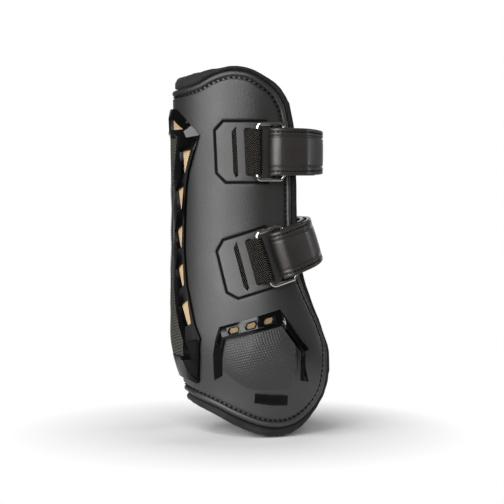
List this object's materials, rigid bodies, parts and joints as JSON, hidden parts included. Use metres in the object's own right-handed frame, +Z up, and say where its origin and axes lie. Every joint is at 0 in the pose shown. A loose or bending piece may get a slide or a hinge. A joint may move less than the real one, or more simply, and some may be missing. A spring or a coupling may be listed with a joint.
{
  "type": "tendon boot",
  "caption": "Moulded tendon boot for a horse's leg: padded open-fronted shell with vented spine guard, fetlock guard, and straps that fold back through wire rings on elastic tabs.",
  "frame": {"origin": "on the leg's axis, level with the lowest point of the boot's edge roll", "axes": "+Z up the leg; the spine guard faces -X and the open front +X; the outer side with the rings is at -Y"},
  "size_m": [0.1052, 0.1057, 0.2442],
  "materials": {
    "moulded_shell": "satin moulded urethane, dark grey",
    "foam": "closed-cell shock foam, black",
    "lining": "neoprene lining, black",
    "edge_roll": "neoprene edge roll, black",
    "gloss_guard": "glossy moulded urethane, black",
    "textured_guard": "fine pyramid texture, charcoal",
    "vent_mesh": "woven vent mesh, tan",
    "elastic": "ribbed elastic webbing, black",
    "ring": "polished gunmetal wire",
    "strap": "coated leather-look strap with sewn edges, charcoal",
    "hook_and_loop": "hook-and-loop tape, black"
  },
  "bodies": {
    "boot": {"outer_shell": "moulded_shell", "shock_foam": "foam", "lining": "lining", "edge_roll": "edge_roll", "spine_frame": "gloss_guard", "strike_plate": "textured_guard", "spine_mesh_lateral": "vent_mesh", "spine_mesh_medial": "vent_mesh", "fetlock_frame_lateral": "gloss_guard", "fetlock_frame_medial": "gloss_guard", "fetlock_pad_lateral": "textured_guard", "fetlock_pad_medial": "textured_guard", "fetlock_mesh_lateral": "vent_mesh", "fetlock_mesh_medial": "vent_mesh", "fetlock_rib_lateral": "gloss_guard", "fetlock_rib_medial": "gloss_guard", "upper_panel_lateral": "moulded_shell", "upper_panel_medial": "moulded_shell", "lower_panel_lateral": "moulded_shell", "lower_panel_medial": "moulded_shell", "upper_elastic": "elastic", "lower_elastic": "elastic", "upper_strap": "strap", "lower_strap": "strap", "upper_loop_tape": "hook_and_loop", "lower_loop_tape": "hook_and_loop"},
    "upper_ring": {"upper_ring": "ring"},
    "lower_ring": {"lower_ring": "ring"},
    "upper_tail": {"upper_strap_tail": "strap", "upper_hook_tape": "hook_and_loop"},
    "lower_tail": {"lower_strap_tail": "strap", "lower_hook_tape": "hook_and_loop"}
  },
  "joints": [
    {"name": "upper_ring_pivot", "type": "hinge", "parent": "boot", "child": "upper_ring", "pos_m": [0.00224, -0.0452, 0.187], "axis": [0, 0, 1], "range_deg": [-7, 4.5]},
    {"name": "upper_tail_peel", "type": "hinge", "parent": "boot", "child": "upper_tail", "pos_m": [0.01716, -0.05219, 0.187], "axis": [0, 0, -1], "range_deg": [0, 140]},
    {"name": "lower_ring_pivot", "type": "hinge", "parent": "boot", "child": "lower_ring", "pos_m": [0.00621, -0.04784, 0.11641], "axis": [-0.309, 0, 0.9511], "range_deg": [-7, 4.5]},
    {"name": "lower_tail_peel", "type": "hinge", "parent": "boot", "child": "lower_tail", "pos_m": [0.02133, -0.05362, 0.12132], "axis": [0.309, 0, -0.9511], "range_deg": [0, 140]}
  ]
}
